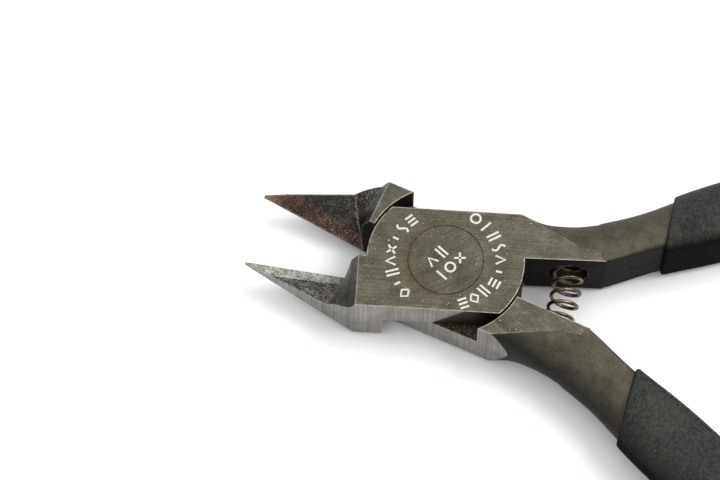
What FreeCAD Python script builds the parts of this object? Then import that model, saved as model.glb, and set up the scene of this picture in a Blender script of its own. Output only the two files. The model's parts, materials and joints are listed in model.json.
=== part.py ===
# Sprue nippers: flush-cutting side cutters for trimming plastic parts from their sprue frames.
#
# Two forged halves cross in a lap joint and turn on one large rivet. Each half is a pointed jaw, half of the
# joint and a bowed handle with a dipped vinyl grip. A small coil spring sits in a blind bore in each handle
# and pushes the jaws open.
#
# Frame: +Z up, X along the tool with the cutting tips towards -X, the rivet's axis on Z, and Z = 0 on the
# underside of the joint. Both halves are drawn closed, where their edges meet on the plane Y = 0, and each is
# then turned half of the opening angle about the rivet, so the document shows the nippers open at rest.
import FreeCAD, Part
import math
import os
import Sketcher

from FreeCAD import Placement, Rotation, Vector

OUT_FOLDER = "parts"

# Dimensions in millimetres and degrees: alias, value or formula of other aliases, what it sizes.
DIMENSIONS = [
    ("overall_length", 120.0, "tips to handle ends, closed"),
    ("open_angle", 21.1, "angle between the halves at rest"),
    ("joint_thickness", 8.7, "both lapped plates together"),
    ("joint_half_width", 7.3, "ground flank to the rivet's axis"),
    ("lap_gap", 0.04, "running gap between the lapped faces"),
    ("disc_radius", 10.45, "round ends of each lapped plate"),
    ("disc_clearance", 0.3, "gap from a plate to the other half's shoulders"),
    ("shoulder_reach", "disc_radius + 1.05", "rivet to the jaw shoulder"),
    ("heel_reach", "shoulder_reach + 0.4", "rivet to where the jaw's flank starts to taper"),
    ("jaw_length", 15.2, "jaw shoulder to the cutting tips"),
    ("tip_reach", "shoulder_reach + jaw_length", "rivet to the cutting tips"),
    ("tip_width", 0.35, "blunt width of a tip"),
    ("tip_height", 4.15, "cutting edge above the underside at the tip"),
    ("edge_fall", "0.89 * tip_height / jaw_length", "fall of the cutting edge per mm towards the rivet"),
    ("underside_angle", 4.75, "tilt of the flush underside across the jaw"),
    ("blade_gap", 0.02, "each cutting edge to the meeting plane when closed"),
    ("blade_land", 0.1, "flat left on the cutting edge"),
    ("bevel_angle", 33.0, "ground bevel behind the cutting edge"),
    ("hollow_angle", 26.0, "forged hollow behind the bevel"),
    ("hollow_rise_tip", 0.46, "hollow above the edge at the tip"),
    ("hollow_rise_root", 0.35, "hollow above the edge at the throat"),
    ("upper_throat_reach", "shoulder_reach + 1.8", "rivet to the throat, upper half"),
    ("lower_throat_reach", "shoulder_reach + 0.5", "rivet to the throat, lower half"),
    ("upper_hollow_reach", "shoulder_reach + 4.7", "rivet to the hollow's end at the flank, upper half"),
    ("lower_hollow_reach", "shoulder_reach + 5.5", "rivet to the hollow's end at the flank, lower half"),
    ("brow_drop", 1.8, "height of the upper facet of the jaw shoulder"),
    ("brow_reach", 0.95, "length of that facet along the tool"),
    ("jaw_relief", 1.0, "inner face set back behind the cutting edge"),
    ("handle_gap", 0.75, "inner handle face to the meeting plane beside the rivet"),
    ("kink_reach", "disc_radius + 10.75", "rivet to the kink of the inner handle face"),
    ("kink_gap", 1.1, "inner handle face to the meeting plane at the kink"),
    ("ground_reach", "disc_radius - 0.75", "rivet to where the ground face starts to narrow"),
    ("nose_reach", "disc_radius + 1.85", "rivet to the end of the ground flank on the handle"),
    ("forging_crown", 0.3, "height of the forging ground away beside the joint"),
    ("inner_edge_round", 0.3, "bare inner edges of the handle"),
    ("covered_edge_round", 1.0, "inner edges of the handle inside the grip"),
    ("outer_edge_round", 5.6, "round outer side of the handle"),
    ("handle_height", "joint_thickness - 0.06", "forged handle beyond the kink"),
    ("neck_width", 6.95, "handle width at the kink"),
    ("waist_width", 6.8, "handle width at the dip line"),
    ("handle_width", 8.3, "handle width inside the grip"),
    ("handle_end_width", 7.6, "handle width at its end"),
    ("inner_swell", 0.66, "swelling of the inner face inside the grip"),
    ("splay_angle", 20.5, "straight stretch of the handle to the tool's axis"),
    ("bow_reach", "kink_reach + 20.8", "rivet to the start of the bowed stretch"),
    ("bow_radius", 90.0, "radius of the bowed stretch"),
    ("grip_wall", 0.65, "thickness of the dipped vinyl"),
    ("grip_end_wall", 1.5, "vinyl beyond the handle's end"),
    ("grip_rim", 0.4, "rounding of the vinyl's front rim"),
    ("grip_reach", "kink_reach + 7.1", "rivet to the dip line at the meeting plane"),
    ("dip_angle", 8.5, "tilt of the dip line across the handle"),
    ("rivet_head_diameter", 10.0, "flush rivet heads"),
    ("rivet_head_height", "0.2 * joint_thickness", "height of each head"),
    ("rivet_shank_diameter", "0.6 * rivet_head_diameter", "rivet between its heads"),
    ("rivet_clearance", 0.03, "running clearance in the lower half"),
    ("rivet_rim", 0.06, "chamfer round each head and its seat"),
    ("spring_reach", "disc_radius + 5.95", "rivet to the spring's bores"),
    ("spring_bore_diameter", 5.2, "blind bore in each handle"),
    ("spring_bore_depth", 3.6, "depth of each bore"),
    ("spring_diameter", "spring_bore_diameter - 1", "outside of the coils"),
    ("spring_wire", 0.5, "wire diameter"),
    ("spring_turns", 9.5, "all turns, with the closed end turns"),
    ("spring_end_gap", 0.02, "closed end turns to the bore's floor"),
]
ALIASES = sorted((alias for alias, _, _ in DIMENSIONS), key=len, reverse=True)

doc = FreeCAD.newDocument("sprue_nippers")
sheet = doc.addObject("Spreadsheet::Sheet", "sizes")
for row, (alias, value, note) in enumerate(DIMENSIONS, start=1):
    sheet.set(f"A{row}", note)
    sheet.set(f"B{row}", f"={value}" if isinstance(value, str) else str(value))
    sheet.setAlias(f"B{row}", alias)
doc.recompute()


def size(alias):
    """Value of a dimension, for the shapes that code has to set."""
    return float(sheet.get(alias))


def cell(text):
    """Expression text with each <alias> sent to the sheet."""
    for alias in ALIASES:
        text = text.replace(f"<{alias}>", f"sizes.{alias}")
    return text


def value_of(text):
    """Number that an expression stands for."""
    return float(sheet.evalExpression(cell(text)))


def bind(obj, **expressions):
    """Binds properties of obj to expressions of the sheet. A double underscore stands for a dot."""
    for name, text in expressions.items():
        obj.setExpression(name.replace("__", "."), cell(text))
    return obj


def box(name, x0, x1, y0, y1, z0, z1):
    """Part::Box between two corners, each given as an expression."""
    made = doc.addObject("Part::Box", name)
    bind(made, Length=f"({x1}) - ({x0})", Width=f"({y1}) - ({y0})", Height=f"({z1}) - ({z0})")
    return bind(made, Placement__Base__x=x0, Placement__Base__y=y0, Placement__Base__z=z0)


def cylinder(name, radius, z0, z1):
    """Part::Cylinder on the rivet's axis, between two heights."""
    made = doc.addObject("Part::Cylinder", name)
    return bind(made, Radius=radius, Height=f"({z1}) - ({z0})", Placement__Base__z=z0)


def flare(name, low_radius, high_radius, z0, z1):
    """Part::Cone on the rivet's axis, for a chamfered rim."""
    made = doc.addObject("Part::Cone", name)
    bind(made, Radius1=low_radius, Radius2=high_radius)
    return bind(made, Height=f"({z1}) - ({z0})", Placement__Base__z=z0)


def draw(sketch, corners):
    """Draws a closed polygon in a sketch, each corner a pair of expressions bound to the sheet."""
    spots = [Vector(value_of(x), value_of(y), 0) for x, y in corners]
    count = len(spots)
    sketch.addGeometry([Part.LineSegment(spots[i], spots[(i + 1) % count]) for i in range(count)], False)
    for i, (spot, pair) in enumerate(zip(spots, corners)):
        sketch.addConstraint(Sketcher.Constraint("Coincident", i, 2, (i + 1) % count, 1))
        for axis, text, value in zip("XY", pair, spot):
            if text == "0":
                sketch.addConstraint(Sketcher.Constraint("PointOnObject", i, 1, -2 if axis == "X" else -1))
                continue
            number = sketch.addConstraint(Sketcher.Constraint(f"Distance{axis}", -1, 1, i, 1, value))
            sketch.renameConstraint(number, f"{axis}_{i}")
            sketch.setExpression(f"Constraints.{axis}_{i}", cell(text))
    return sketch


def outline(name, corners, turn=Rotation()):
    """Sketch of a closed polygon on the XY plane, or on that plane turned."""
    sketch = doc.addObject("Sketcher::SketchObject", name)
    sketch.Placement = Placement(Vector(), turn)
    return draw(sketch, corners)


def extrusion(name, sketch, direction, length):
    """Part::Extrusion of a sketch along direction."""
    made = doc.addObject("Part::Extrusion", name)
    made.Base = sketch
    made.DirMode = "Custom"
    made.Dir = direction
    made.Solid = True
    return bind(made, LengthFwd=length)


def fuse(name, pieces):
    made = doc.addObject("Part::MultiFuse", name)
    made.Shapes = pieces
    made.Refine = True
    return made


def cut(name, base, tools):
    """Part::Cut of base by one tool, or by several fused."""
    made = doc.addObject("Part::Cut", name)
    made.Base = base
    made.Tool = tools[0] if len(tools) == 1 else fuse(f"{name}_tools", tools)
    made.Refine = True
    return made


def feature(name, shape):
    """Part::Feature with a shape set in code."""
    made = doc.addObject("Part::Feature", name)
    made.Shape = shape
    return made


# ---------------------------------------------------------------------------------------------------------
# Handle: D-shaped forged sections along a straight splay and a long bow.


def quarter(start, corner, end):
    """Quarter of an ellipse from start to end, inside the right angle at corner."""
    curve = Part.BezierCurve()
    curve.setPoles([start, corner, end])
    curve.setWeight(2, math.sqrt(0.5))
    return curve.toShape()


def section(origin, across, inner, outer, half_height, inner_round, outer_round):
    """Closed section of a handle: flat inner side with rounded edges, round outer side."""
    middle = size("joint_thickness") / 2
    shoulder = half_height - inner_round

    def at(offset, height):
        spot = origin + across * offset
        return Vector(spot.x, spot.y, middle + height)

    def flat(start, end):
        return Part.LineSegment(start, end).toShape()

    edges = [flat(at(inner, -shoulder), at(inner, shoulder))]
    for side in (1, -1):
        rise = side * half_height
        sweep = [
            quarter(at(inner, side * shoulder), at(inner, rise), at(inner + inner_round, rise)),
            flat(at(inner + inner_round, rise), at(outer - outer_round, rise)),
            quarter(at(outer - outer_round, rise), at(outer, rise), at(outer, 0)),
        ]
        edges += sweep if side == 1 else sweep[::-1]
    return Part.Wire(edges)


def bow_point(distance):
    """Point of the handle's inner face and its outward direction, at a distance along it from the kink."""
    splay = math.radians(size("splay_angle"))
    start = Vector(size("kink_reach"), size("kink_gap"), 0)
    along = Vector(math.cos(splay), math.sin(splay), 0)
    straight = (size("bow_reach") - size("kink_reach")) / math.cos(splay)
    if distance <= straight:
        return start + along * distance, Vector(-along.y, along.x, 0)
    turned = (distance - straight) / size("bow_radius")
    centre = start + along * straight + Vector(along.y, -along.x, 0) * size("bow_radius")
    outward = Vector(-math.sin(splay - turned), math.cos(splay - turned), 0)
    return centre + outward * size("bow_radius"), outward


def handle_length(end_reach):
    """Distance along the handle from the kink to where it reaches end_reach along X."""
    near, far = 0.0, 2 * end_reach
    while far - near > 1e-6:
        middle = (near + far) / 2
        near, far = (middle, far) if bow_point(middle)[0].x < end_reach else (near, middle)
    return near


def bow_span(share):
    """Inner and outer side of the handle off its inner line: a waist at the dip line, a swelling, a taper."""
    narrowing = min(1.0, share / 0.09)
    swell = min(1.0, max(0.0, share - 0.09) / 0.15)
    swell = swell * swell * (3 - 2 * swell)
    bare = size("neck_width") + (size("waist_width") - size("neck_width")) * narrowing
    taper = (size("handle_width") - size("handle_end_width")) * share
    inner = (taper / 2 - size("inner_swell")) * swell
    return inner, inner + bare + (size("handle_width") - taper - bare) * swell


def bow_sections(shares, length, growth):
    """Sections along the handle at shares of its length, each grown outwards all round."""
    bare, covered = size("inner_edge_round"), size("covered_edge_round")
    wires = []
    for share, narrowing in shares:
        origin, outward = bow_point(share * length)
        inner, outer = bow_span(share)
        middle = (inner + outer) / 2
        half_width = ((outer - inner) / 2 + growth) * narrowing
        half_height = (size("handle_height") / 2 + growth) * narrowing
        inner_round = (bare + (covered - bare) * min(1.0, share / 0.12) + growth) * narrowing
        outer_round = (size("outer_edge_round") + growth) * narrowing
        reach = (middle - half_width, middle + half_width)
        wires.append(section(origin, outward, *reach, half_height, inner_round, outer_round))
    return wires


def neck_sections():
    """Sections of the neck from inside the joint to the kink, fanned out towards the splayed handle."""
    flank, ground = size("joint_half_width"), size("ground_reach")
    kink, nose = size("kink_reach"), size("nose_reach")
    half_joint = size("joint_thickness") / 2
    crown, sink = size("forging_crown"), half_joint - size("handle_height") / 2
    stations = [
        (size("disc_radius") - 4.0, 1.6, 0.0),
        (ground, 0.85, 0.0),
        (nose, 0.0, 0.0),
        (nose + (kink - nose) * 0.3, 0.05, 0.0),
        (nose + (kink - nose) * 0.58, 0.24, 0.3),
        (nose + (kink - nose) * 0.8, 0.48, 0.67),
        (kink, size("kink_gap") + size("neck_width") - flank, 1.0),
    ]
    wires = []
    for reach, bulge, fan in stations:
        share = max(0.0, reach - ground) / (kink - ground)
        gap = size("handle_gap") + (size("kink_gap") - size("handle_gap")) * reach / kink
        turn = math.radians(size("splay_angle") / 2) * fan
        width = (flank + bulge - gap) / math.cos(turn)
        ground_width = (flank - size("kink_gap")) * (1 - share) + size("kink_gap") - gap
        half_height = half_joint + crown - (crown + sink) * share
        above = 1 - math.sqrt(max(0.0, 1 - (half_joint / half_height) ** 2))
        outer_round = min((width - ground_width) / above, size("outer_edge_round"))
        sides = (Vector(reach, gap, 0), Vector(-math.sin(turn), math.cos(turn), 0), 0, width)
        wires.append(section(*sides, half_height, size("inner_edge_round"), outer_round))
    return wires


END_SHARES = [(0.985, 0.93), (1.0, 0.72)]
COVERED_SHARES = [(share, 1.0) for share in (0.06, 0.1, 0.14, 0.18, 0.24, 0.34, 0.46, 0.6, 0.74, 0.86, 0.955)]


def handle_forging():
    """Steel handle from inside the joint to its end, which the vinyl covers."""
    length = handle_length(size("overall_length") - size("tip_reach") - size("grip_end_wall"))
    neck = neck_sections()
    bow = [neck[-1]] + bow_sections(COVERED_SHARES + END_SHARES, length, 0.0)
    return Part.makeLoft(neck, True, False).fuse(Part.makeLoft(bow, True, False))


def grip_blank():
    """Outer form of the dipped vinyl, longer than the grip at its front."""
    length = handle_length(size("overall_length") - size("tip_reach"))
    return Part.makeLoft(bow_sections(COVERED_SHARES + END_SHARES, length, size("grip_wall")), True, False)


# ---------------------------------------------------------------------------------------------------------
# Jaw: everything above the bevel, the hollow and the shoulder facets is cut away, and so is the underside.


def edge_height(reach):
    """Height of the cutting edge at a reach from the rivet."""
    return size("tip_height") - size("edge_fall") * (size("tip_reach") - reach)


def wedge(name, inner, outer, inner_y, outer_y):
    """Solid between two matching outlines in planes of constant Y."""
    wires = []
    for corners, y in ((inner, inner_y), (outer, outer_y)):
        spots = [Vector(-reach, y, height) for reach, height in corners]
        wires.append(Part.makePolygon(spots + spots[:1]))
    return feature(name, Part.makeLoft(wires, True, True))


def jaw_cutters(name, throat, hollow_end):
    """Cutters for the bevel and the hollow. Both end on the same faceted wall at the jaw shoulder."""
    top = size("joint_thickness")
    shoulder, flank = size("shoulder_reach"), size("joint_half_width")
    beyond = size("tip_reach") + 2.0
    past = 1.0
    brow = [(shoulder + size("brow_reach"), top - size("brow_drop")), (shoulder, top)]

    def rise_of(angle, from_tip, from_root):
        slope = math.tan(math.radians(angle))

        def height(reach, y):
            share = (size("tip_reach") - reach) / (size("tip_reach") - size("upper_throat_reach"))
            return edge_height(reach) + from_tip + (from_root - from_tip) * share - slope * y

        return height

    surfaces = {
        "bevel": rise_of(size("bevel_angle"), size("blade_land"), size("blade_land")),
        "hollow": rise_of(size("hollow_angle"), size("hollow_rise_tip"), size("hollow_rise_root")),
    }
    made = []
    for kind, height in surfaces.items():
        ends = []
        for y in (past, -flank - past):
            crease = throat - (hollow_end - throat) * y / flank
            ends.append([
                (beyond, height(beyond, y)),
                (crease, height(crease, y)),
                *brow,
                (shoulder, top + past),
                (beyond, top + past + 6.0),
            ])
        made.append(wedge(f"{name}_{kind}", ends[0], ends[1], past, -flank - past))
    return made


def underside_cutter(name):
    """Cutter for the flush underside, which rises to the tip and falls a little towards the flank."""
    slope = math.tan(math.radians(size("underside_angle")))
    beyond, past = size("tip_reach") + 2.0, 1.0
    ends = []
    for y in (past, -size("joint_half_width") - past):
        low_reach = size("tip_reach") - (size("tip_height") + slope * y) / size("edge_fall")
        high = edge_height(beyond) + slope * y
        ends.append([(beyond, high), (low_reach, 0.0), (low_reach, -past), (beyond, -past)])
    return wedge(name, ends[0], ends[1], past, -size("joint_half_width") - past)


# ---------------------------------------------------------------------------------------------------------
# Halves


def half_blank(name):
    """Jaw, joint and handle root in plan, at the joint's full thickness."""
    corners = [
        ("-<tip_reach>", "-<blade_gap>"),
        ("-<tip_reach>", "-<blade_gap> - <tip_width>"),
        ("-<heel_reach>", "-<joint_half_width>"),
        ("<rivet_shank_diameter> / 2", "-<joint_half_width>"),
        ("<rivet_shank_diameter> / 2", "<handle_gap>"),
        ("<kink_reach>", "<kink_gap>"),
        ("<ground_reach>", "<joint_half_width>"),
        ("-<rivet_shank_diameter> / 2", "<joint_half_width>"),
        ("-<rivet_shank_diameter> / 2", "-<blade_gap>"),
    ]
    return extrusion(f"{name}_blank", outline(f"{name}_plan", corners), Vector(0, 0, 1), "<joint_thickness>")


def lapped_plate(name, low, high):
    """Round-ended plate that laps over the other half, between two heights."""
    reach, flank = "<disc_radius>", "<joint_half_width>"
    strip = box(f"{name}_strip", f"-{reach}", reach, f"-{flank}", flank, low, high)
    disc = cylinder(f"{name}_disc", "<disc_radius>", low, high)
    made = doc.addObject("Part::Common", f"{name}_plate")
    made.Base, made.Tool = strip, disc
    return made


def relief(name, low, high, wide_end):
    """Wedge that sets the jaw's inner face back between its shoulder and the rivet."""
    corners = [
        ("-<jaw_relief>" if wide_end == "low" else "0.001", low),
        ("-<jaw_relief>" if wide_end == "high" else "0.001", high),
        ("1", high),
        ("1", low),
    ]
    sketch = outline(f"{name}_relief_outline", corners, Rotation(Vector(1, 1, 1), 120))
    bind(sketch, Placement__Base__x="-<shoulder_reach> - 1.4")
    return extrusion(f"{name}_relief", sketch, Vector(1, 0, 0), "4")


def rivet_seat(name, clearance, head_at_top):
    """Hole for the rivet: shank bore, head recess and its chamfered rim."""
    shank = f"<rivet_shank_diameter> / 2 + {clearance}"
    head = f"<rivet_head_diameter> / 2 + {clearance}"
    top = "<joint_thickness>"
    pieces = [cylinder(f"{name}_shank_bore", shank, "-1", f"{top} + 1")]
    wide = f"{head} + <rivet_rim>"
    if head_at_top:
        floor = f"{top} - <rivet_head_height> - {clearance}"
        pieces.append(cylinder(f"{name}_head_bore", head, floor, f"{top} + 1"))
        pieces.append(flare(f"{name}_rim", head, wide, f"{top} - <rivet_rim>", top))
    else:
        pieces.append(cylinder(f"{name}_head_bore", head, "-1", f"<rivet_head_height> + {clearance}"))
        pieces.append(flare(f"{name}_rim", wide, head, "0", "<rivet_rim>"))
    return pieces


def spring_bore(name):
    """Blind bore for the spring in the inner face of the handle."""
    made = doc.addObject("Part::Cylinder", f"{name}_spring_bore")
    made.Placement = Placement(Vector(), Rotation(Vector(1, 0, 0), -90))
    bind(made, Radius="<spring_bore_diameter> / 2", Height="<spring_bore_depth> + 2")
    return bind(made, Placement__Base__x="<spring_reach>", Placement__Base__y=f"{SPRING_MOUTH} - 2",
                Placement__Base__z=MID_HEIGHT)


SPRING_MOUTH = "<handle_gap> + (<kink_gap> - <handle_gap>) * <spring_reach> / <kink_reach>"
MID_HEIGHT = "<joint_thickness> / 2"


def nipper_half(name, plate_on_top, throat, hollow_end, rivet_gap):
    """One half, closed, with its jaw at -Y and its handle at +Y."""
    gap = "<lap_gap> / 2"
    if plate_on_top:
        plate_low, plate_high = f"{MID_HEIGHT} + {gap}", "<joint_thickness>"
        open_low, open_high = "-1", f"{MID_HEIGHT} + {gap}"
    else:
        plate_low, plate_high = "0", f"{MID_HEIGHT} - {gap}"
        open_low, open_high = f"{MID_HEIGHT} - {gap}", "<joint_thickness> + 1"
    handle = feature(f"{name}_handle", handle_forging())
    solid = fuse(f"{name}_forging", [half_blank(name), handle])
    lap_room = cylinder(f"{name}_lap_room", "<disc_radius> + <disc_clearance>", open_low, open_high)
    plate_room = cylinder(f"{name}_plate_room", "<disc_radius> - 1", "-1", "<joint_thickness> + 1")
    flank, top = "<joint_half_width>", "<joint_thickness>"
    ground = [
        box(f"{name}_ground_flank", "0", "<nose_reach>", flank, f"{flank} + 4", "-1", f"{top} + 1"),
        box(f"{name}_ground_top", "0", "<kink_reach>", "0", f"{flank} + 4", top, f"{top} + 1"),
        box(f"{name}_ground_underside", "0", "<kink_reach>", "0", f"{flank} + 4", "-1", "0"),
    ]
    solid = cut(f"{name}_opened", solid, [lap_room, plate_room, *ground])
    solid = fuse(f"{name}_lapped", [solid, lapped_plate(name, plate_low, plate_high)])
    if plate_on_top:
        inner_relief = relief(name, "-1", MID_HEIGHT, "low")
    else:
        inner_relief = relief(name, "<edge_fall> * 4", "<joint_thickness> + 1", "high")
    tools = jaw_cutters(name, size(throat), size(hollow_end))
    tools += [underside_cutter(f"{name}_underside"), inner_relief, spring_bore(name)]
    tools += rivet_seat(name, rivet_gap, plate_on_top)
    return cut(f"{name}_solid", solid, tools)


def turned(name, source, mirrored):
    """Final sub-part: source turned open about the rivet, mirrored first for the lower half."""
    if mirrored:
        made = doc.addObject("Part::Mirroring", name)
        made.Source = source
        made.Base, made.Normal = Vector(), Vector(0, 1, 0)
        sign = "-"
    else:
        made = doc.addObject("Part::Compound", name)
        made.Links = [source]
        sign = ""
    made.Label = name
    made.Placement = Placement(Vector(), Rotation(Vector(0, 0, 1), 1))
    return bind(made, Placement__Rotation__Angle=f"{sign}<open_angle> / 2")


def grip(name, handle):
    """Dipped sleeve: the grown handle beyond the dip line, its front rim rounded, hollowed by the handle."""
    blank = feature(f"{name}_blank", grip_blank())
    width = "80"
    before = doc.addObject("Part::Box", f"{name}_before")
    before.Placement = Placement(Vector(), Rotation(Vector(0, 0, 1), 1))
    bind(before, Length=width, Width=width, Height=width, Placement__Rotation__Angle="-<dip_angle>")
    bind(before, Placement__Base__x="<grip_reach> - 80 * cos(<dip_angle>) - 30 * sin(<dip_angle>)",
         Placement__Base__y="80 * sin(<dip_angle>) - 30 * cos(<dip_angle>)", Placement__Base__z="-40")
    dipped = cut(f"{name}_dipped", blank, [before])
    doc.recompute()
    front = min(dipped.Shape.Faces, key=lambda face: face.CenterOfMass.x)
    edges = enumerate(dipped.Shape.Edges, start=1)
    rim = [i for i, edge in edges if any(edge.isSame(other) for other in front.Edges)]
    rounded = doc.addObject("Part::Fillet", f"{name}_rounded")
    rounded.Base = dipped
    rounded.Edges = [(i, size("grip_rim"), size("grip_rim")) for i in rim]
    return cut(f"{name}_sleeve", rounded, [handle])


# ---------------------------------------------------------------------------------------------------------
# Rivet and spring


def pivot_rivet():
    """Rivet with two flush heads. The lower head turns in the lower half, the upper one is tight."""
    body = doc.addObject("PartDesign::Body", "pivot_rivet")
    body.Label = "pivot_rivet"
    plane = next(f for f in body.Origin.OriginFeatures if f.Role == "XZ_Plane")
    sketch = body.newObject("Sketcher::SketchObject", "rivet_profile")
    sketch.AttachmentSupport = [(plane, "")]
    sketch.MapMode = "FlatFace"
    head, shank = "<rivet_head_diameter> / 2", "<rivet_shank_diameter> / 2"
    top, rise, rim = "<joint_thickness>", "<rivet_head_height>", "<rivet_rim>"
    draw(sketch, [
        ("0", "0"),
        (f"{head} - {rim}", "0"),
        (head, rim),
        (head, rise),
        (shank, rise),
        (shank, f"{top} - {rise}"),
        (head, f"{top} - {rise}"),
        (head, f"{top} - {rim}"),
        (f"{head} - {rim}", top),
        ("0", top),
    ])
    turning = body.newObject("PartDesign::Revolution", "rivet_turning")
    turning.Profile = sketch
    turning.ReferenceAxis = (sketch, ["V_Axis"])
    turning.Angle = 360
    body.Tip = turning
    return body


def spring_path():
    """Points of the wire's centre line: closed end turns in both bores, open turns on an arc between them."""
    half = math.radians(size("open_angle") / 2)
    inward = Vector(math.sin(half), -math.cos(half), 0)
    mouth = Vector(math.cos(half), math.sin(half), 0) * size("spring_reach") - inward * value_of(SPRING_MOUTH)
    arc_radius = mouth.y / math.sin(half)
    arc_centre = mouth.x - arc_radius * math.cos(half)
    arc_length = 2 * half * arc_radius
    depth = size("spring_bore_depth") - size("spring_end_gap") - size("spring_wire") / 2
    coil = (size("spring_diameter") - size("spring_wire")) / 2
    closed_pitch = size("spring_wire") * 1.04
    open_turns = size("spring_turns") - 2
    open_pitch = (arc_length + 2 * depth - 2 * closed_pitch) / open_turns
    steps = 20
    points = []
    for k in range(int(size("spring_turns") * steps) + 1):
        turn = k / steps
        opened = max(0.0, min(turn - 1, open_turns))
        past = (turn - opened) * closed_pitch + opened * open_pitch - depth
        if past < 0:
            lean = half
            centre = mouth + inward * past
        elif past > arc_length:
            lean = -half
            beyond = past - arc_length
            centre = Vector(mouth.x - inward.x * beyond, inward.y * beyond - mouth.y, 0)
        else:
            lean = half - past / arc_radius
            centre = Vector(arc_centre + arc_radius * math.cos(lean), arc_radius * math.sin(lean), 0)
        sideways = Vector(math.cos(lean), math.sin(lean), 0)
        angle = 2 * math.pi * turn
        height = size("joint_thickness") / 2 + coil * math.sin(angle)
        points.append(centre + sideways * coil * math.cos(angle) + Vector(0, 0, height))
    return points


def return_spring():
    """Compression spring swept along its wire."""
    curve = Part.BSplineCurve()
    curve.interpolate(spring_path())
    path = Part.Wire([curve.toShape()])
    start, along = curve.value(curve.FirstParameter), curve.tangent(curve.FirstParameter)[0]
    ring = Part.Wire([Part.Circle(start, along, size("spring_wire") / 2).toShape()])
    made = doc.addObject("Part::Feature", "return_spring")
    made.Label = "return_spring"
    made.Shape = path.makePipeShell([ring], True, True)
    return made


# ---------------------------------------------------------------------------------------------------------

upper = nipper_half("upper", True, "upper_throat_reach", "upper_hollow_reach", "0")
lower = nipper_half("lower", False, "lower_throat_reach", "lower_hollow_reach", "<rivet_clearance>")
upper_grip_closed = grip("upper_grip_closed", feature("upper_grip_core", handle_forging()))
lower_grip_closed = grip("lower_grip_closed", feature("lower_grip_core", handle_forging()))

PIECES = [
    turned("upper_half", upper, False),
    turned("lower_half", lower, True),
    turned("upper_grip", upper_grip_closed, False),
    turned("lower_grip", lower_grip_closed, True),
    pivot_rivet(),
    return_spring(),
]
doc.recompute()

failed = [o.Label for o in doc.Objects if {"Invalid", "Error"} & set(o.State)]
if failed:
    raise RuntimeError(f"these objects failed: {failed}")
for piece in PIECES:
    shape = piece.Shape
    if shape.isNull() or not shape.isValid() or not shape.Solids:
        raise RuntimeError(f"{piece.Label} has no valid solid")

os.makedirs(OUT_FOLDER, exist_ok=True)
for piece in PIECES:
    piece.Shape.exportStep(os.path.join(OUT_FOLDER, f"{piece.Label}.step"))
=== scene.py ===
import json
import math

import bpy
from mathutils import Matrix, Vector


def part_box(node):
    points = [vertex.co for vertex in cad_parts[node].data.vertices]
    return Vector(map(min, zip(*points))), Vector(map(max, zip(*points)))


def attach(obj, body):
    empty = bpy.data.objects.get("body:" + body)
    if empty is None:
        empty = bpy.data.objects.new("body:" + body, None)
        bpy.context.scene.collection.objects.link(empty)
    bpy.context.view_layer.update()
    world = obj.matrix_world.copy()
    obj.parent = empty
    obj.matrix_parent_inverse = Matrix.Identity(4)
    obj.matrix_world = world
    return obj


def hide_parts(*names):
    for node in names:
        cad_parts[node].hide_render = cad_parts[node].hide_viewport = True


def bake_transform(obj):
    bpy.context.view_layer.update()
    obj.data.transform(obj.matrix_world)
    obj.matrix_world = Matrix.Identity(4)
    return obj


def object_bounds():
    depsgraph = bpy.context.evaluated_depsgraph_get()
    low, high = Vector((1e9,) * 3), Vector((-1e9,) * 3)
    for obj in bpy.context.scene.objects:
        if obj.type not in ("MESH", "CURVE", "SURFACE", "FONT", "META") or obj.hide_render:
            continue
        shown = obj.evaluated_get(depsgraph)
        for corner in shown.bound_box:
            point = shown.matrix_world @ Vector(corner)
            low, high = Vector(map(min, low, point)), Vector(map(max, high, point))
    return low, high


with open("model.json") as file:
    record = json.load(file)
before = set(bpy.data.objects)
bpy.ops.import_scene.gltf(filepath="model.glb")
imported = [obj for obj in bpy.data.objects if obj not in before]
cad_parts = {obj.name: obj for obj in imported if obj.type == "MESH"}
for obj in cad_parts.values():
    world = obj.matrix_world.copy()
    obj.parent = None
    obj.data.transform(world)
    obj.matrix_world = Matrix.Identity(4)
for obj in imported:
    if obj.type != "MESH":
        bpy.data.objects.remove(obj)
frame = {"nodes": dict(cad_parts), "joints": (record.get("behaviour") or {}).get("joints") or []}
cad_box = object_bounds()
nodes = frame["nodes"]
MM = 0.001

# Sizes in millimetres. The first four come from the frame.
OPEN_HALF = math.radians(frame["joints"][0]["range_deg"][1]) / 2
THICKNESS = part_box("pivot_rivet")[1].z / MM
RIVET_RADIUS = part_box("pivot_rivet")[1].x / MM
TIP_REACH = -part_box("upper_half")[0].x / MM / math.cos(OPEN_HALF)
FLANK = 7.3  # ground flank to the rivet's axis
SHOULDER = 11.5  # rivet to the jaw shoulder
NOSE = 12.3  # rivet to the end of the ground flank
LAP_START = -3.0  # where the lap shows beside the plate
INSIDE_START = 9.0  # rivet to where the handle's inner wall begins
SKIN = 0.012  # how close to the top or bottom plane a ground face lies
JAW_ROOT = (-20.5, -16.0)  # stretch over which the root's flecks fade in
FLOOR = cad_box[0].z  # in metres

# ---------------------------------------------------------------------------------------------------------
# Materials


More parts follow.
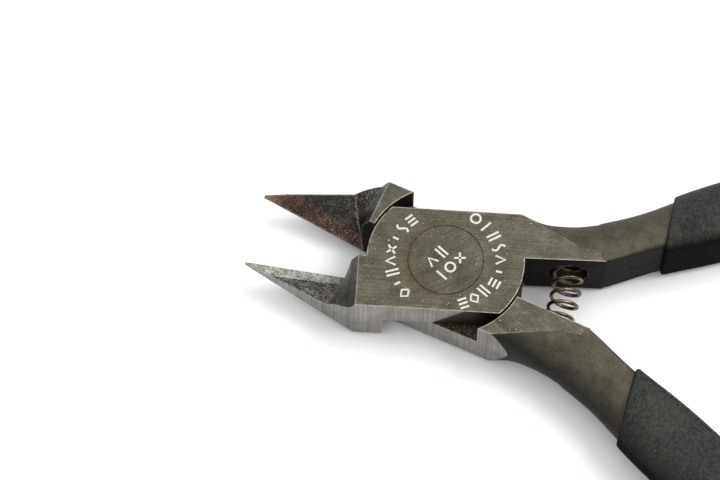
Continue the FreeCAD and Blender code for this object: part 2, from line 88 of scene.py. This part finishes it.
class Shader:
    """Node graph of one material. Positions in it are in millimetres, at rest, in the row frame."""

    def __init__(self, name, **surface):
        self.material = bpy.data.materials.new(name)
        self.material.use_nodes = True
        self.tree = self.material.node_tree
        self.tree.nodes.clear()
        self.surface = self.add("ShaderNodeBsdfPrincipled", **surface)
        output = self.add("ShaderNodeOutputMaterial")
        self.tree.links.new(self.surface.outputs["BSDF"], output.inputs["Surface"])
        here = self.add("ShaderNodeTexCoord").outputs["Object"]
        self.place = self.vector("SCALE", here, scale=1 / MM)

    def put(self, socket, value):
        """Links a socket to another node's output, or sets its value."""
        if isinstance(value, bpy.types.NodeSocket):
            self.tree.links.new(value, socket)
        else:
            socket.default_value = value

    def add(self, kind, settings=None, **inputs):
        node = self.tree.nodes.new(kind)
        for name, value in (settings or {}).items():
            setattr(node, name, value)
        for name, value in inputs.items():
            self.put(node.inputs[name.replace("_", " ")], value)
        return node

    def vector(self, operation, first, second=(0, 0, 0), scale=1.0):
        node = self.add("ShaderNodeVectorMath", {"operation": operation})
        self.put(node.inputs[0], first)
        if operation == "SCALE":
            node.inputs["Scale"].default_value = scale
        else:
            self.put(node.inputs[1], second)
        return node.outputs["Value" if operation in ("LENGTH", "DOT_PRODUCT") else "Vector"]

    def math(self, operation, first, second=0.0):
        node = self.add("ShaderNodeMath", {"operation": operation})
        self.put(node.inputs[0], first)
        self.put(node.inputs[1], second)
        return node.outputs[0]

    def axes(self, place=None):
        return self.add("ShaderNodeSeparateXYZ", Vector=place or self.place).outputs

    def turned(self, angle):
        """Place turned in plan."""
        node = self.add("ShaderNodeVectorRotate", {"rotation_type": "Z_AXIS"}, Vector=self.place, Angle=angle)
        return node.outputs[0]

    def closed(self, side):
        """Axes of a half's closed frame, its jaw at -Y. side is 1 for the upper half, -1 for the lower one."""
        return self.axes(self.vector("MULTIPLY", self.turned(-OPEN_HALF * side), (1, side, 1)))

    def upward(self):
        """Height of the surface's normal: 1 facing up, 0 on a wall."""
        return self.axes(self.add("ShaderNodeNewGeometry").outputs["Normal"])[2]

    def noise(self, scale, detail=3.0, roughness=0.55, place=None, shift=0.0):
        """Noise with features of about 1 / scale millimetres."""
        moved = self.vector("ADD", place or self.place, (shift, -shift, shift * 0.5))
        node = self.add("ShaderNodeTexNoise", Vector=moved, Scale=scale, Detail=detail, Roughness=roughness)
        return node.outputs["Fac"]

    def grain(self, angle, length, width, shift=0.0):
        """Noise drawn out into lines at an angle in plan, of a length and a width in millimetres."""
        drawn = self.vector("MULTIPLY", self.turned(-angle), (1 / length, 1 / width, 1 / width))
        return self.noise(1.0, 3.0, 0.6, drawn, shift)

    def upright_lines(self, width):
        """Lines that run up a wall."""
        drawn = self.vector("MULTIPLY", self.place, (1 / width, 1 / width, 0.06))
        return self.noise(1.0, 3.0, 0.6, drawn)

    def range(self, value, low, high, to_low=0.0, to_high=1.0):
        node = self.add("ShaderNodeMapRange", {"clamp": True}, Value=value)
        for name, number in zip(("From Min", "From Max", "To Min", "To Max"), (low, high, to_low, to_high)):
            node.inputs[name].default_value = number
        return node.outputs["Result"]

    def ramp(self, value, *stops):
        """Colours along a value: stops are pairs of a position and a colour."""
        node = self.add("ShaderNodeValToRGB", Fac=value)
        points = node.color_ramp.elements
        while len(points) < len(stops):
            points.new(0.5)
        for point, (position, colour) in zip(points, stops):
            point.position = position
            point.color = (*colour, 1.0)
        return node.outputs["Color"]

    def mix(self, factor, first, second):
        node = self.add("ShaderNodeMix", {"data_type": "RGBA"})
        self.put(node.inputs["Factor"], factor)
        colours = [s for s in node.inputs if s.type == "RGBA"]
        for socket, value in zip(colours, (first, second)):
            self.put(socket, (*value, 1.0) if isinstance(value, tuple) else value)
        return next(s for s in node.outputs if s.type == "RGBA")

    def edge_wear_and_highlight(self, radius, low=0.015, high=0.14):
        """1 along sharp edges, 0 elsewhere: how far a rounded normal leans from the true one. The bright colour
        it carries is edge wear and painted edge highlight.
        """
        rounded = self.add("ShaderNodeBevel", {"samples": 6}, Radius=radius * MM).outputs["Normal"]
        true = self.add("ShaderNodeNewGeometry").outputs["Normal"]
        likeness = self.vector("DOT_PRODUCT", rounded, true)
        return self.range(self.math("SUBTRACT", 1.0, likeness), low, high)

    def bump(self, height, depth, below=None):
        """Bump of a depth in millimetres, on top of another normal."""
        node = self.add("ShaderNodeBump", Height=height, Strength=1.0, Distance=depth * MM)
        if below:
            self.put(node.inputs["Normal"], below)
        return node.outputs["Normal"]

    def soft_edges(self, radius):
        return self.add("ShaderNodeBevel", {"samples": 6}, Radius=radius * MM).outputs["Normal"]

    def finish(self, colour, roughness, normal):
        self.put(self.surface.inputs["Base Color"], colour)
        self.put(self.surface.inputs["Roughness"], roughness)
        self.put(self.surface.inputs["Normal"], normal)
        return self.material


# Bright bare steel for nicks, flecks, scratches and edge wear; it also paints the highlights along edges and
# the glints along the jaws' creases.
BRIGHT = (0.62, 0.59, 0.52)


def ground_face(name, angle, stain=False):
    """Olive-grey surface-ground steel: crossed grinding lines, bright nicks, edge wear with painted edge
    highlights, brown stains.
    """
    s = Shader(name, Metallic=0.8)
    lines = s.grain(angle, 7.0, 0.08)
    cross = s.grain(angle + 0.75, 4.0, 0.1, shift=31.0)
    grit = s.noise(5.5, 4.0, 0.7, shift=41.0)
    cloud = s.noise(0.3, 5.0, 0.65, shift=7.0)
    tone = s.math("ADD", s.math("MULTIPLY", lines, 0.3), s.math("MULTIPLY", cross, 0.15))
    tone = s.math("ADD", tone, s.math("MULTIPLY", grit, 0.3))
    tone = s.math("ADD", tone, s.math("MULTIPLY", cloud, 0.25))
    olive = (0.41, (0.042, 0.037, 0.026)), (0.5, (0.088, 0.079, 0.055)), (0.6, (0.16, 0.147, 0.108))
    colour = s.ramp(tone, *olive)
    if stain:
        x, y, _ = s.axes()
        plan = s.add("ShaderNodeCombineXYZ", X=x, Y=y).outputs[0]
        radius = s.vector("LENGTH", plan)
        off_rim = s.math("ABSOLUTE", s.math("SUBTRACT", radius, RIVET_RADIUS))
        ring = s.range(off_rim, 1.1, 0.0)
        side = s.range(s.math("ADD", x, s.math("MULTIPLY", y, 0.35)), 1.0, -4.0)
        blot = s.range(s.noise(0.9, 4.0, shift=3.0), 0.4, 0.6)
        rust = s.math("MULTIPLY", s.math("MULTIPLY", ring, side), blot)
        colour = s.mix(s.math("MULTIPLY", rust, 0.8), colour, (0.085, 0.047, 0.018))
    specks = s.range(s.noise(2.6, 2.0, shift=13.0), 0.72, 0.76)
    scuffs = s.math("MULTIPLY", s.range(s.grain(angle - 0.5, 1.6, 0.08, shift=5.0), 0.68, 0.76),
                    s.range(s.noise(0.35, 2.0, shift=23.0), 0.47, 0.6))
    # Edge wear with painted highlight: bright colour along sharp edges, broken up by noise.
    wear_and_highlight = s.math("MULTIPLY", s.edge_wear_and_highlight(0.32), s.range(s.noise(1.7, 5.0, 0.7, shift=17.0), 0.34, 0.5))
    bright = s.math("MAXIMUM", s.math("MAXIMUM", specks, scuffs), wear_and_highlight)
    if stain:
        bright = s.math("MULTIPLY", bright, s.range(off_rim, 0.25, 0.4))
        patchy = s.range(s.noise(0.5, shift=37.0), 0.35, 0.6, 0.3)
        seam = s.math("MULTIPLY", s.range(off_rim, 0.13, 0.03), patchy)
        colour = s.mix(seam, colour, (0.022, 0.018, 0.012))
    colour = s.mix(s.math("MULTIPLY", bright, 0.8), colour, BRIGHT)
    roughness = s.range(tone, 0.38, 0.62, 0.52, 0.36)
    normal = s.bump(lines, 0.006, s.bump(grit, 0.012, s.soft_edges(0.08)))
    return s.finish(colour, roughness, normal)


def ground_flank(name, side=0):
    """Lighter ground side walls with upright grinding lines. With a side, a painted shadow darkens the wall's
    end at the disc.
    """
    s = Shader(name, Metallic=0.8)
    lines = s.upright_lines(0.16)
    grit = s.noise(6.0, 3.0, 0.7, shift=43.0)
    cloud = s.noise(0.3, 4.0, shift=9.0)
    tone = s.math("ADD", s.math("MULTIPLY", lines, 0.5), s.math("MULTIPLY", cloud, 0.3))
    tone = s.math("ADD", tone, s.math("MULTIPLY", grit, 0.2))
    grey = (0.38, (0.14, 0.131, 0.116)), (0.52, (0.24, 0.226, 0.206)), (0.67, (0.36, 0.345, 0.32))
    colour = s.ramp(tone, *grey)
    # Edge wear with painted highlight: bright colour along sharp edges, broken up by noise.
    wear_and_highlight = s.math("MULTIPLY", s.edge_wear_and_highlight(0.22), s.range(s.noise(1.9, 4.0, shift=27.0), 0.36, 0.6))
    colour = s.mix(s.math("MULTIPLY", wear_and_highlight, 0.7), colour, BRIGHT)
    if side:
        # Painted shadow: a slanted near-black patch on the flank's end at the disc.
        x, y, z = s.closed(side)
        past = s.math("SUBTRACT", x, s.math("SUBTRACT", z, THICKNESS / 2 + 1.4))
        painted_shadow = s.math("MULTIPLY", s.range(past, -0.2, 0.15), s.range(y, 0.1, -0.1))
        colour = s.mix(painted_shadow, colour, (0.024, 0.02, 0.015))
    roughness = s.range(tone, 0.38, 0.64, 0.5, 0.38)
    return s.finish(colour, roughness, s.bump(lines, 0.008, s.soft_edges(0.08)))


def forged(name, dark, light, shine=0.35, shade=0.0, gloss=0.12):
    """Forged steel under a thin oil film: mottled and finely pitted. shade is the strength of the painted shade
    on what doesn't face up.
    """
    s = Shader(name, Metallic=shine, Specular_IOR_Level=gloss)
    mottle = s.noise(0.5, 6.0, 0.6, shift=2.0)
    fine = s.noise(7.0, 4.0, 0.65, shift=11.0)
    tone = s.math("ADD", s.math("MULTIPLY", mottle, 0.45), s.math("MULTIPLY", fine, 0.55))
    colour = s.ramp(tone, (0.38, dark), (0.64, light))
    if shade:
        # Painted shade: faces that don't face up darken towards near-black.
        scale = s.math("MULTIPLY", s.range(s.upward(), 0.97, 0.4), shade)
        colour = s.mix(scale, colour, (0.012, 0.011, 0.009))
    nicks = s.range(s.noise(2.1, 2.0, shift=19.0), 0.735, 0.775)
    # Edge wear with painted highlight: bright colour along sharp edges, with nicks.
    wear_and_highlight = s.math("MULTIPLY", s.edge_wear_and_highlight(0.26), s.range(s.noise(1.3, 4.0, shift=29.0), 0.4, 0.6))
    colour = s.mix(s.math("MULTIPLY", s.math("MAXIMUM", nicks, wear_and_highlight), 0.6), colour, (0.4, 0.38, 0.33))
    roughness = s.range(fine, 0.3, 0.7, 0.62, 0.46)
    return s.finish(colour, roughness, s.bump(fine, 0.016, s.bump(mottle, 0.02, s.soft_edges(0.12))))


def pitted(name, dark, mid, light, rust=0.0, pit_depth=0.08, flecks=0.6):
    """Coarse hand-ground or forged surface: pits, bright flecks and oil stains."""
    s = Shader(name, Metallic=0.6, Specular_IOR_Level=0.25)
    return pitted_finish(s, pitted_colour(s, dark, mid, light, rust, flecks), pit_depth)


def pitted_colour(s, dark, mid, light, rust, flecks):
    pits = s.noise(3.6, 5.0, 0.72, shift=4.0)
    broad = s.noise(0.7, 4.0, 0.6, shift=14.0)
    tone = s.math("ADD", s.math("MULTIPLY", pits, 0.65), s.math("MULTIPLY", broad, 0.35))
    colour = s.ramp(tone, (0.42, dark), (0.5, mid), (0.59, light))
    if rust:
        blot = s.range(s.noise(1.1, 5.0, 0.65, shift=34.0), 0.5, 0.66)
        colour = s.mix(s.math("MULTIPLY", blot, rust), colour, (0.11, 0.06, 0.03))
    fleck = s.range(s.noise(5.5, 3.0, 0.65, shift=24.0), 0.61, 0.68)
    return s.mix(s.math("MULTIPLY", fleck, flecks), colour, BRIGHT)


def pitted_finish(s, colour, pit_depth):
    pits = s.noise(3.6, 5.0, 0.72, shift=4.0)
    # Edge wear with painted highlight: bright colour along sharp edges, broken up by noise.
    wear_and_highlight = s.math("MULTIPLY", s.edge_wear_and_highlight(0.28), s.range(s.noise(2.2, 4.0, shift=44.0), 0.36, 0.52))
    colour = s.mix(s.math("MULTIPLY", wear_and_highlight, 0.8), colour, (0.46, 0.42, 0.34))
    roughness = s.range(pits, 0.35, 0.7, 0.5, 0.3)
    return s.finish(colour, roughness, s.bump(pits, pit_depth, s.soft_edges(0.06)))


def jaw_surface(name, side, throat, hollow_end, tones, rust=0.0, pit_depth=0.08, flecks=0.6,
                root_flecks=0.0, streaks=0.0, painted_corner_shade=0.0):
    """Pitted jaw: rust along the crease below the shoulder with painted glints on it, a tip rubbed blunt,
    flecks near the root, file streaks and painted shade in its deepest corner."""
    s = Shader(name, Metallic=0.6, Specular_IOR_Level=0.25)
    colour = pitted_colour(s, *tones, rust, flecks)
    x, y, _ = s.closed(side)
    crease = s.math("SUBTRACT", throat, s.math("MULTIPLY", y, (hollow_end - throat) / FLANK))
    wander = s.range(s.noise(0.9, 4.0, 0.7, shift=84.0), 0.3, 0.7, -0.45, 0.45)
    off_crease = s.math("ABSOLUTE", s.math("ADD", s.math("ADD", x, crease), wander))
    broken = s.range(s.noise(2.4, 5.0, 0.7, shift=54.0), 0.36, 0.54)
    line = s.math("MULTIPLY", s.range(off_crease, 0.42, 0.08), broken)
    colour = s.mix(s.math("MULTIPLY", line, 0.8), colour, (0.17, 0.1, 0.05))
    # Painted glints: bright spots along the crease.
    sparse = s.range(s.noise(4.5, 3.0, shift=64.0), 0.55, 0.62)
    glints = s.math("MULTIPLY", s.range(off_crease, 0.3, 0.05), sparse)
    colour = s.mix(s.math("MULTIPLY", glints, 0.8), colour, BRIGHT)
    blunt = s.math("MULTIPLY", s.range(x, 3.2 - TIP_REACH, 0.4 - TIP_REACH), broken)
    colour = s.mix(s.math("MULTIPLY", blunt, 0.7), colour, (0.27, 0.2, 0.135))
    if root_flecks:
        near_root = s.range(x, *JAW_ROOT)
        scratch = s.range(s.noise(4.2, 4.0, 0.75, shift=74.0), 0.58, 0.66)
        colour = s.mix(s.math("MULTIPLY", s.math("MULTIPLY", near_root, scratch), root_flecks), colour, BRIGHT)
    if streaks:
        filed = s.range(s.grain(math.pi / 2 + OPEN_HALF * side, 2.2, 0.13, shift=94.0), 0.56, 0.68)
        colour = s.mix(s.math("MULTIPLY", filed, streaks), colour, BRIGHT)
    # Painted shade: near-black towards the jaw's deepest corner.
    if painted_corner_shade:
        colour = s.mix(s.math("MULTIPLY", s.range(y, -3.4, -2.6), painted_corner_shade), colour, (0.004, 0.004, 0.0035))
    return pitted_finish(s, colour, pit_depth)


def vinyl(name):
    """Dipped black vinyl with a fine orange-peel grain and grey dust in it, and painted shade on its sides."""
    s = Shader(name, Metallic=0.0)
    up = s.upward()
    # Painted shade: the specular level drops on faces that don't face up.
    s.put(s.surface.inputs["Specular IOR Level"], s.range(up, 0.15, 0.9, 0.01, 0.1))
    peel = s.noise(2.4, 5.0, 0.68, shift=6.0)
    cell = s.add("ShaderNodeTexVoronoi", {"feature": "F1"}, Vector=s.place, Scale=2.2).outputs["Distance"]
    height = s.math("ADD", s.math("MULTIPLY", peel, 0.8), s.math("MULTIPLY", cell, 0.3))
    broad = s.noise(0.16, 3.0, shift=16.0)
    tone = s.math("ADD", s.math("MULTIPLY", peel, 0.65), s.math("MULTIPLY", broad, 0.35))
    colour = s.ramp(tone, (0.4, (0.016, 0.017, 0.015)), (0.62, (0.05, 0.052, 0.045)))
    # Painted shade: faces that don't face up darken towards black.
    colour = s.mix(s.math("MULTIPLY", s.range(up, 0.96, 0.3), 0.92), colour, (0.002, 0.002, 0.0018))
    dust = s.range(s.noise(3.8, 2.0, shift=26.0), 0.735, 0.775)
    colour = s.mix(s.math("MULTIPLY", dust, 0.5), colour, (0.35, 0.35, 0.33))
    roughness = s.range(height, 0.3, 0.8, 0.62, 0.42)
    return s.finish(colour, roughness, s.bump(height, 0.14))


def spring_steel(name):
    """Oil-tempered wire: dark bronze with random gold patches."""
    s = Shader(name, Metallic=0.95)
    gold_mottle = s.noise(1.2, 4.0, 0.6, shift=8.0)
    fine = s.noise(14.0, 2.0, shift=18.0)
    bronze = (0.35, (0.075, 0.055, 0.035)), (0.55, (0.17, 0.13, 0.085)), (0.72, (0.38, 0.31, 0.2))
    colour = s.ramp(gold_mottle, *bronze)
    return s.finish(colour, s.range(fine, 0.3, 0.7, 0.28, 0.42), s.bump(fine, 0.006))


def mark_fill(name):
    """Off-white filler in the stamped marks."""
    s = Shader(name, Metallic=0.0)
    grit = s.noise(7.0, 3.0, shift=12.0)
    cream = (0.34, (0.34, 0.31, 0.25)), (0.48, (0.6, 0.575, 0.51)), (0.66, (0.7, 0.68, 0.62))
    colour = s.ramp(grit, *cream)
    return s.finish(colour, s.range(grit, 0.3, 0.7, 0.7, 0.5), s.bump(grit, 0.02))


def paper(name):
    s = Shader(name, Metallic=0.0, Roughness=0.9)
    tint = s.noise(0.01, 2.0)
    s.put(s.surface.inputs["Base Color"], s.ramp(tint, (0.3, (0.94, 0.94, 0.94)), (0.7, (0.96, 0.96, 0.955))))
    return s.material


# ---------------------------------------------------------------------------------------------------------
# Steel halves: one material for each kind of surface


def region(spot, normal):
    """Kind of surface at a spot of a half, in its closed frame, in millimetres, jaw at -Y."""
    level = abs(normal.z) > 0.995
    if level and (spot.z > THICKNESS - SKIN or spot.z < SKIN):
        return "face"
    if level and abs(spot.z - THICKNESS / 2) < 0.5:
        return "lap" if spot.x > LAP_START else "throat"
    if spot.x < -SHOULDER:
        if normal.z < -0.5:
            return "face"
        if abs(normal.z) < 0.02:
            return "flank" if normal.y < -0.3 else "throat"
        if normal.x < -0.35:
            return "shoulder"
        if normal.z < 0.3:
            return "throat"
        return "bevel" if normal.y > 0.57 * normal.z else "hollow"
    if abs(spot.y) > FLANK - 0.02 and abs(normal.y) > 0.995 and spot.x < NOSE:
        return "flank"
    if math.hypot(spot.x, spot.y) < SHOULDER + 0.4 and abs(normal.z) < 0.3:
        return "throat"
    return "inside" if normal.y < -0.9 and spot.x > INSIDE_START else "forging"


def dress_half(node, side, finishes):
    """Sorts a half's faces into materials. side is 1 for the upper half and -1 for the mirrored lower one."""
    mesh = nodes[node].data
    mesh.materials.clear()
    kinds = list(finishes)
    for kind in kinds:
        mesh.materials.append(finishes[kind])
    close = Matrix.Rotation(-OPEN_HALF * side, 3, "Z")
    for face in mesh.polygons:
        spot, normal = close @ (face.center / MM), close @ face.normal
        spot.y *= side
        normal.y *= side
        face.material_index = kinds.index(region(spot, normal))


# Near-black forge scale: real oxide on the handles' inner walls, and painted shade in the throat recesses.
scale = forged("forge_scale_and_throat_shade", (0.006, 0.006, 0.005), (0.018, 0.017, 0.015), shine=0.0, gloss=0.04)
common = {
    "forging": forged("forged_olive", (0.044, 0.039, 0.028), (0.115, 0.102, 0.074), shade=0.97),
    "lap": pitted("lap_face", (0.014, 0.008, 0.005), (0.035, 0.021, 0.012), (0.1, 0.07, 0.045), pit_depth=0.03),
    # Painted shade: the throat recesses take the near-black scale.
    "throat": scale,
    "inside": scale,
}
upper_jaw = (1, SHOULDER + 1.8, SHOULDER + 4.7)
lower_jaw = (-1, SHOULDER + 0.5, SHOULDER + 5.5)
bright_bevel = ((0.11, 0.103, 0.083), (0.36, 0.345, 0.3), (0.72, 0.7, 0.63))
brown_bevel = ((0.02, 0.011, 0.008), (0.06, 0.029, 0.021), (0.125, 0.075, 0.055))
charcoal = ((0.016, 0.017, 0.015), (0.07, 0.072, 0.064), (0.3, 0.302, 0.275))
dark_hollow = ((0.008, 0.008, 0.007), (0.02, 0.02, 0.016), (0.06, 0.06, 0.048))
sooty = ((0.007, 0.007, 0.006), (0.022, 0.022, 0.018), (0.07, 0.069, 0.058))
upper_finishes = {
    **common,
    "face": ground_face("ground_face_upper", 0.15, stain=True),
    "flank": ground_flank("ground_flank_upper", 1),
    "bevel": jaw_surface("bevel_upper", *upper_jaw, bright_bevel, pit_depth=0.06, flecks=0.8),
    "hollow": jaw_surface("hollow_upper", *upper_jaw, charcoal, pit_depth=0.12),
    "shoulder": jaw_surface("shoulder_upper", *upper_jaw, sooty, pit_depth=0.1, flecks=0.4, streaks=0.15),
}
lower_finishes = {
    **common,
    "face": ground_face("ground_face_lower", -0.5),
    "flank": ground_flank("ground_flank_lower"),
    "bevel": jaw_surface("bevel_lower", *lower_jaw, brown_bevel, 0.4, 0.04, 0.2, root_flecks=0.8),
    "hollow": jaw_surface("hollow_lower", *lower_jaw, dark_hollow, 0.25, flecks=0.15, root_flecks=0.25),
    "shoulder": jaw_surface("shoulder_lower", *lower_jaw, sooty, 0.2, 0.12, 0.5, streaks=0.7, painted_corner_shade=1.0),
}
dress_half("upper_half", 1, upper_finishes)
dress_half("lower_half", -1, lower_finishes)


def dress(node, material):
    mesh = nodes[node].data
    mesh.materials.clear()
    mesh.materials.append(material)


dress("pivot_rivet", ground_face("rivet_face", 0.75, stain=True))
grip_vinyl = vinyl("dipped_vinyl")
dress("upper_grip", grip_vinyl)
dress("lower_grip", grip_vinyl)

# ---------------------------------------------------------------------------------------------------------
# Spring: the coil, copied from its CAD part with its own wire material

spring = bpy.data.objects.new("return_spring_coil", nodes["return_spring"].data.copy())
bpy.context.scene.collection.objects.link(spring)
spring.data.materials.clear()
spring.data.materials.append(spring_steel("spring_wire"))
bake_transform(spring)
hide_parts("return_spring")

# ---------------------------------------------------------------------------------------------------------
# Stamped marks: plain bars, rings, crosses and waves filled with off-white paint

MARK_RADIUS = 7.25
MARK_HEIGHT = 1.8
STROKE = 0.28
PAINT = 0.012


def stroke(points):
    """Flat band of paint along points in plan, as its vertices and faces."""
    spots = [Vector(p) for p in points]
    edges = []
    for before, spot, after in zip([spots[0], *spots], spots, [*spots[1:], spots[-1]]):
        along = (after - before).normalized()
        aside = Vector((-along.y, along.x)) * STROKE / 2
        edges += [spot + aside, spot - aside]
    return edges, [(i, i + 1, i + 3, i + 2) for i in range(0, len(edges) - 2, 2)]


def circle(radius, steps=24):
    angles = [2 * math.pi * i / steps for i in range(steps + 1)]
    return [(radius * math.cos(a), radius * math.sin(a)) for a in angles]


HALF = MARK_HEIGHT / 2
GLYPHS = {
    "tick": [[(0, -HALF), (0, HALF)]],
    "short": [[(0, -HALF * 0.45), (0, HALF * 0.45)]],
    "pair": [[(-0.3, -HALF), (-0.3, HALF)], [(0.3, -HALF), (0.3, HALF)]],
    "ring": [circle(HALF * 0.72)],
    "chevron": [[(-0.6, -HALF * 0.7), (0, HALF * 0.7), (0.6, -HALF * 0.7)]],
    "cross": [[(-0.55, -0.55), (0.55, 0.55)], [(-0.55, 0.55), (0.55, -0.55)]],
    "bars": [[(-0.6, y), (0.6, y)] for y in (-0.6, 0, 0.6)],
    "diamond": [[(0, -HALF * 0.8), (0.6, 0), (0, HALF * 0.8), (-0.6, 0), (0, -HALF * 0.8)]],
    "wave": [[(0.32 * math.sin(t * math.pi / 4), -HALF + MARK_HEIGHT * t / 8) for t in range(9)]],
}
paint = mark_fill("mark_paint")


def marks(name, placed, rides_on):
    """One mesh of painted strokes. placed holds (glyph, x, y, turn) in plan."""
    vertices, faces = [], []
    for glyph, x, y, turn in placed:
        spin = Matrix.Rotation(turn, 2)
        for line in GLYPHS[glyph]:
            points, quads = stroke(line)
            base = len(vertices)
            for point in points:
                spot = spin @ point + Vector((x, y))
                vertices.append((spot.x * MM, spot.y * MM, (THICKNESS + PAINT) * MM))
            faces += [tuple(base + i for i in quad) for quad in quads]
    mesh = bpy.data.meshes.new(name)
    mesh.from_pydata(vertices, [], faces)
    mesh.materials.append(paint)
    made = bpy.data.objects.new(name, mesh)
    bpy.context.scene.collection.objects.link(made)
    solid = made.modifiers.new("paint", "SOLIDIFY")
    solid.thickness = PAINT * 2 * MM
    solid.offset = 0.0
    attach(made, rides_on)


def round_marks(glyphs, start, end, radius=MARK_RADIUS):
    """Glyphs spread along an arc about the rivet, with their tops outwards."""
    placed = []
    for i, glyph in enumerate(glyphs):
        angle = math.radians(start + (end - start) * i / (len(glyphs) - 1))
        placed.append((glyph, radius * math.cos(angle), radius * math.sin(angle), angle - math.pi / 2))
    return placed


left_arc = round_marks(["bars", "wave", "short", "cross", "chevron", "pair", "short", "diamond"], 142, 236)
right_arc = round_marks(["ring", "tick", "pair", "wave", "chevron", "short", "bars"], 70, -14)
low_arc = round_marks(["pair", "diamond", "bars"], -28, -56, 6.7)
marks("joint_marks", left_arc + right_arc + low_arc, "upper")

row_turn = math.radians(60)
rivet_rows = [
    ("chevron", -1.4, 1.15),
    ("pair", 0.45, 1.15),
    ("tick", -2.0, -1.2),
    ("ring", -0.35, -1.2),
    ("cross", 1.5, -1.2),
]
spin = Matrix.Rotation(row_turn, 2)
marks("rivet_marks", [(g, *(spin @ Vector((x, y))), row_turn) for g, x, y in rivet_rows], "upper")

# ---------------------------------------------------------------------------------------------------------
# Floor, light and camera

bpy.ops.mesh.primitive_plane_add(size=4.0, location=(0, 0, FLOOR))
floor = bpy.context.object
floor.name = "floor"
floor.data.materials.append(paper("pale_paper"))

world = bpy.data.worlds.new("studio")
world.use_nodes = True
bpy.context.scene.world = world
sky = world.node_tree
direction = sky.nodes.new("ShaderNodeTexCoord").outputs["Generated"]
split = sky.nodes.new("ShaderNodeSeparateXYZ")
glow = sky.nodes.new("ShaderNodeValToRGB")
sky.links.new(direction, split.inputs["Vector"])
sky.links.new(split.outputs["Z"], glow.inputs["Fac"])
sky.links.new(glow.outputs["Color"], sky.nodes["Background"].inputs["Color"])
stops = glow.color_ramp.elements
stops.new(0.25)
stops.new(0.6)
for stop, (position, level) in zip(stops, ((0.0, 0.3), (0.25, 0.35), (0.6, 0.8), (1.0, 1.0))):
    stop.position = position
    stop.color = (level * 0.97, level * 0.985, level, 1.0)
sky.nodes["Background"].inputs["Strength"].default_value = 1.3

KEY_PLACE = Vector((0.42, 0.24, 0.64))
KEY_TARGET = Vector((0.02, 0, 0))
panel = bpy.data.lights.new("key", "AREA")
panel.shape = "RECTANGLE"
panel.size = panel.size_y = 0.45
panel.energy = 4.2
panel.color = (1.0, 0.99, 0.97)
key = bpy.data.objects.new("key", panel)
bpy.context.scene.collection.objects.link(key)
key.location = KEY_PLACE
key.rotation_euler = (KEY_TARGET - KEY_PLACE).to_track_quat("-Z", "Y").to_euler()

CAMERA_AZIMUTH = math.radians(14.31)
CAMERA_ELEVATION = math.radians(64.72)
CAMERA_DISTANCE = 0.4367
CAMERA_TARGET = Vector((-0.01266, 0.00396, 0.0))
back = Vector((
    math.sin(CAMERA_AZIMUTH) * math.cos(CAMERA_ELEVATION),
    -math.cos(CAMERA_AZIMUTH) * math.cos(CAMERA_ELEVATION),
    math.sin(CAMERA_ELEVATION),
))
lens = bpy.data.cameras.new("camera")
lens.lens = 161.4
lens.sensor_width = 36.0
camera = bpy.data.objects.new("camera", lens)
bpy.context.scene.collection.objects.link(camera)
camera.location = CAMERA_TARGET + back * CAMERA_DISTANCE
camera.rotation_euler = (-back).to_track_quat("-Z", "Y").to_euler()
bpy.context.scene.camera = camera
bpy.context.scene.view_settings.view_transform = "Standard"
